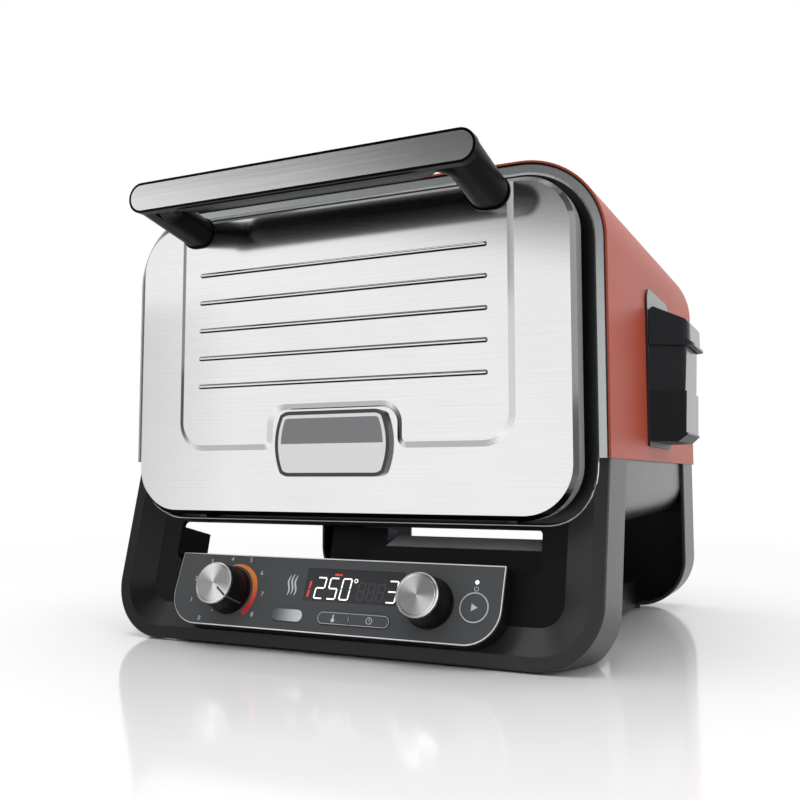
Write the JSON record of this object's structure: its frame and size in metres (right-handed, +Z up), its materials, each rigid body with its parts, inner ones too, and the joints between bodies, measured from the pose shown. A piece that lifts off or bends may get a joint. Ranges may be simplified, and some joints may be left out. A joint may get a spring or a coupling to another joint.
{
  "type": "electric outdoor pizza oven",
  "caption": "Tabletop electric outdoor oven in a tilted cradle base, with a drop-down steel door, control panel with knobs and a pellet smoke box on its side.",
  "frame": {"origin": "floor under the middle of the overall box, feet on Z = 0", "axes": "+Z up, the door faces -Y, the smoke box is on +X"},
  "size_m": [0.4556, 0.48, 0.366],
  "materials": {
    "shell_paint": "satin",
    "bezel_grey": "satin",
    "black_enamel": "satin",
    "liner_steel": "satin",
    "wool": "matte",
    "gasket": "matte",
    "heater": "matte",
    "motor": "satin",
    "stone": "matte",
    "wire": "gloss",
    "black_plastic": "satin",
    "foot_rubber": "matte",
    "panel_face": "satin",
    "display_glass": "gloss",
    "led_lens": "gloss",
    "smoke_plate_grey": "satin",
    "smoke_black": "satin",
    "door_steel": "satin",
    "badge_rim": "gloss",
    "badge_grey": "satin",
    "badge_white": "satin"
  },
  "bodies": {
    "oven": {"outer_shell": "shell_paint", "front_bezel": "bezel_grey", "body_pan": "black_enamel", "liner_flange": "black_enamel", "oven_liner": "liner_steel", "insulation": "wool", "door_gasket": "gasket", "rear_panel": "black_enamel", "upper_element": "heater", "lower_element": "heater", "fan_cover": "liner_steel", "fan_motor": "motor", "temperature_probe": "heater", "rail_left": "liner_steel", "rail_right": "liner_steel", "pizza_stone": "stone", "roast_rack": "wire", "hinge_left": "liner_steel", "hinge_right": "liner_steel", "cord_gland": "black_plastic", "front_frame": "black_plastic", "front_bulkhead": "black_plastic", "electronics_cover": "black_plastic", "base_tray": "black_plastic", "rear_frame": "black_plastic", "foot_front_left": "foot_rubber", "foot_front_right": "foot_rubber", "foot_rear_left": "foot_rubber", "foot_rear_right": "foot_rubber", "panel_housing": "black_plastic", "control_panel": "panel_face", "panel_trim": "wire", "display_window": "display_glass", "status_led": "led_lens", "selector_switch": "black_plastic", "adjust_encoder": "black_plastic", "smoke_plate": "smoke_plate_grey", "smoke_hopper": "smoke_black", "pellet_tray": "liner_steel", "smoke_duct": "liner_steel"},
    "door": {"door_skin": "door_steel", "door_rim": "bezel_grey", "door_liner": "liner_steel", "handle_body": "black_plastic", "handle_trim": "door_steel", "badge_plate": "badge_rim", "badge_upper": "badge_grey", "badge_lower": "badge_white"},
    "selector": {"selector_knob": "black_plastic", "selector_cap": "door_steel"},
    "adjuster": {"adjust_knob": "black_plastic", "adjust_cap": "door_steel"},
    "start": {"start_button": "panel_face"},
    "temperature": {"temp_button": "panel_face"},
    "time": {"time_button": "panel_face"},
    "flavour": {"flavour_button": "panel_face"},
    "lid": {"smoke_lid": "smoke_black"},
    "fan": {"fan_blade": "motor"}
  },
  "joints": [
    {"name": "door_hinge", "type": "hinge", "parent": "oven", "child": "door", "pos_m": [-0.0178, -0.1615, 0.111], "axis": [1, 0, 0], "range_deg": [0, 90]},
    {"name": "selector_turn", "type": "hinge", "parent": "oven", "child": "selector", "pos_m": [-0.1038, -0.18068, 0.04299], "axis": [0, -0.9314, 0.3641], "range_deg": [-25, 265]},
    {"name": "adjust_turn", "type": "hinge", "parent": "oven", "child": "adjuster", "pos_m": [0.0682, -0.18068, 0.04299], "axis": [0, -0.9314, 0.3641], "continuous": true},
    {"name": "start_press", "type": "slide", "parent": "oven", "child": "start", "axis": [0, 0.9314, -0.3641], "range_m": [0, 0.0008], "stiffness_N_per_m": 400},
    {"name": "temp_press", "type": "slide", "parent": "oven", "child": "temperature", "axis": [0, 0.9314, -0.3641], "range_m": [0, 0.0008], "stiffness_N_per_m": 400},
    {"name": "time_press", "type": "slide", "parent": "oven", "child": "time", "axis": [0, 0.9314, -0.3641], "range_m": [0, 0.0008], "stiffness_N_per_m": 400},
    {"name": "flavour_press", "type": "slide", "parent": "oven", "child": "flavour", "axis": [0, 0.9314, -0.3641], "range_m": [0, 0.0008], "stiffness_N_per_m": 400},
    {"name": "lid_hinge", "type": "hinge", "parent": "oven", "child": "lid", "pos_m": [0.198, 0.031, 0.2708], "axis": [0, -1, 0], "range_deg": [0, 80]},
    {"name": "fan_spin", "type": "hinge", "parent": "oven", "child": "fan", "pos_m": [-0.0178, 0.18, 0.227], "axis": [0, 1, 0], "continuous": true}
  ]
}
